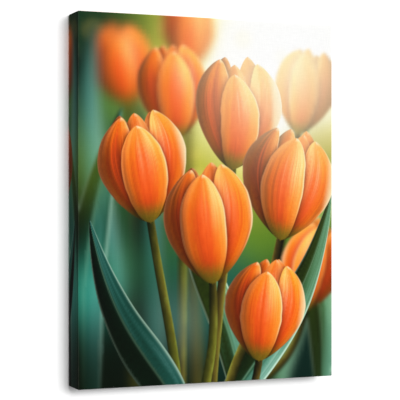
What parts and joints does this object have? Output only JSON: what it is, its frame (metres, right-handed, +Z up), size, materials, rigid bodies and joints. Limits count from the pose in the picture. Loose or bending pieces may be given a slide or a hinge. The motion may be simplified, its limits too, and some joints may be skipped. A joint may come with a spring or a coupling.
{
  "type": "stretched canvas print",
  "caption": "Gallery-wrapped canvas print on a keyed pine stretcher frame, stapled at the back, with a sawtooth hanger for the wall and felt pads below.",
  "frame": {"origin": "where the wall's nail bears under the hanger's teeth, in the plane of the wall, on the middle line", "axes": "+Z up, +Y into the wall, so the picture faces -Y, +X to the right as the picture is seen"},
  "size_m": [0.305, 0.0375, 0.406],
  "materials": {
    "printed_canvas": "matt-satin coated cotton canvas, printed outside and raw inside",
    "pine": "planed, bare",
    "beech": "sawn, bare",
    "staple_steel": "galvanised wire",
    "hanger_brass": "brass plated, satin",
    "felt": "pressed felt"
  },
  "bodies": {
    "root": {"bar_bottom": "pine", "bar_left": "pine", "bar_right": "pine", "bar_top": "pine", "bumper_left": "felt", "bumper_right": "felt", "canvas": "printed_canvas", "hanger": "hanger_brass", "hanger_nail_left": "hanger_brass", "hanger_nail_right": "hanger_brass", "key_level_bottom_left": "beech", "key_level_bottom_right": "beech", "key_level_top_left": "beech", "key_level_top_right": "beech", "key_upright_bottom_left": "beech", "key_upright_bottom_right": "beech", "key_upright_top_left": "beech", "key_upright_top_right": "beech", "staple_bottom_1": "staple_steel", "staple_bottom_2": "staple_steel", "staple_bottom_3": "staple_steel", "staple_bottom_4": "staple_steel", "staple_bottom_5": "staple_steel", "staple_crease_bottom_left": "staple_steel", "staple_crease_bottom_right": "staple_steel", "staple_crease_top_left": "staple_steel", "staple_crease_top_right": "staple_steel", "staple_fold_bottom_left": "staple_steel", "staple_fold_bottom_right": "staple_steel", "staple_fold_top_left": "staple_steel", "staple_fold_top_right": "staple_steel", "staple_left_1": "staple_steel", "staple_left_2": "staple_steel", "staple_left_3": "staple_steel", "staple_left_4": "staple_steel", "staple_left_5": "staple_steel", "staple_left_6": "staple_steel", "staple_left_7": "staple_steel", "staple_left_8": "staple_steel", "staple_left_9": "staple_steel", "staple_right_1": "staple_steel", "staple_right_2": "staple_steel", "staple_right_3": "staple_steel", "staple_right_4": "staple_steel", "staple_right_5": "staple_steel", "staple_right_6": "staple_steel", "staple_right_7": "staple_steel", "staple_right_8": "staple_steel", "staple_right_9": "staple_steel", "staple_top_1": "staple_steel", "staple_top_2": "staple_steel", "staple_top_3": "staple_steel", "staple_top_4": "staple_steel", "staple_top_5": "staple_steel"}
  },
  "joints": []
}
